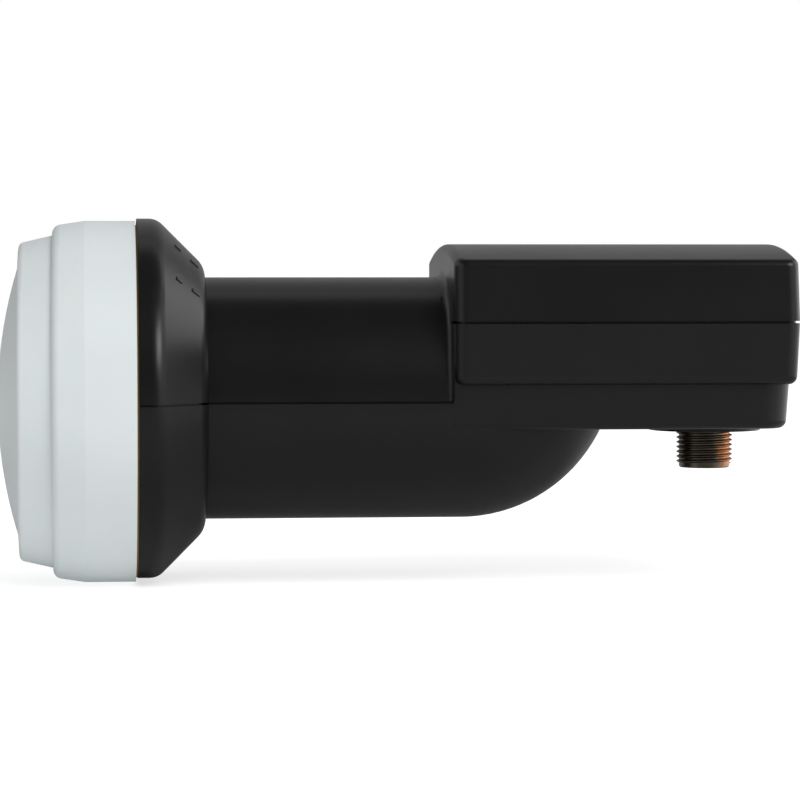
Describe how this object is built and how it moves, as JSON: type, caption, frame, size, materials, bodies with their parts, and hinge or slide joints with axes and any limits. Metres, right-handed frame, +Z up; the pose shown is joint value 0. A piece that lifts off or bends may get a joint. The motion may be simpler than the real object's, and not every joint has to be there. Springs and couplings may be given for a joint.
{
  "type": "satellite lnb",
  "caption": "Satellite LNB: pale domed feed cap on a black moulded housing with a round clamp neck, a flat converter box behind it and a threaded coaxial connector below.",
  "frame": {"origin": "on the axis of the neck, half way between the flange and the box", "axes": "+X along the feed axis from the cap towards the box, +Z up, connector pointing down"},
  "size_m": [0.13, 0.0596, 0.06],
  "materials": {
    "cap_plastic": "moulded, pale grey, satin",
    "housing_plastic": "moulded, black, satin",
    "seal_rubber": "moulded",
    "gasket_rubber": "cut ring, amber",
    "die_casting": "die-cast, bare",
    "board_laminate": "solder mask",
    "screw_steel": "zinc plated",
    "probe_brass": "turned",
    "white_insulator": "turned",
    "chip_plastic": "moulded",
    "crystal_can": "drawn can",
    "chip_ceramic": "fired",
    "plated_brass": "nickel plated"
  },
  "bodies": {
    "root": {"feed_cap": "cap_plastic", "upper_shell": "housing_plastic", "lower_shell": "housing_plastic", "cap_seal": "seal_rubber", "joint_gasket": "gasket_rubber", "cover_seal": "seal_rubber", "connector_seal": "seal_rubber", "feed_casting": "die_casting", "shield_cover": "die_casting", "circuit_board": "board_laminate", "cover_screws": "screw_steel", "reflector_pin": "screw_steel", "vertical_probe": "probe_brass", "horizontal_probe": "probe_brass", "connector_contact": "probe_brass", "vertical_probe_sleeve": "white_insulator", "horizontal_probe_sleeve": "white_insulator", "connector_insulator": "white_insulator", "input_transistors": "chip_plastic", "gain_transistor": "chip_plastic", "converter_chip": "chip_plastic", "voltage_regulator": "chip_plastic", "reference_crystal": "crystal_can", "chip_capacitors": "chip_ceramic", "connector_body": "plated_brass"}
  },
  "joints": []
}
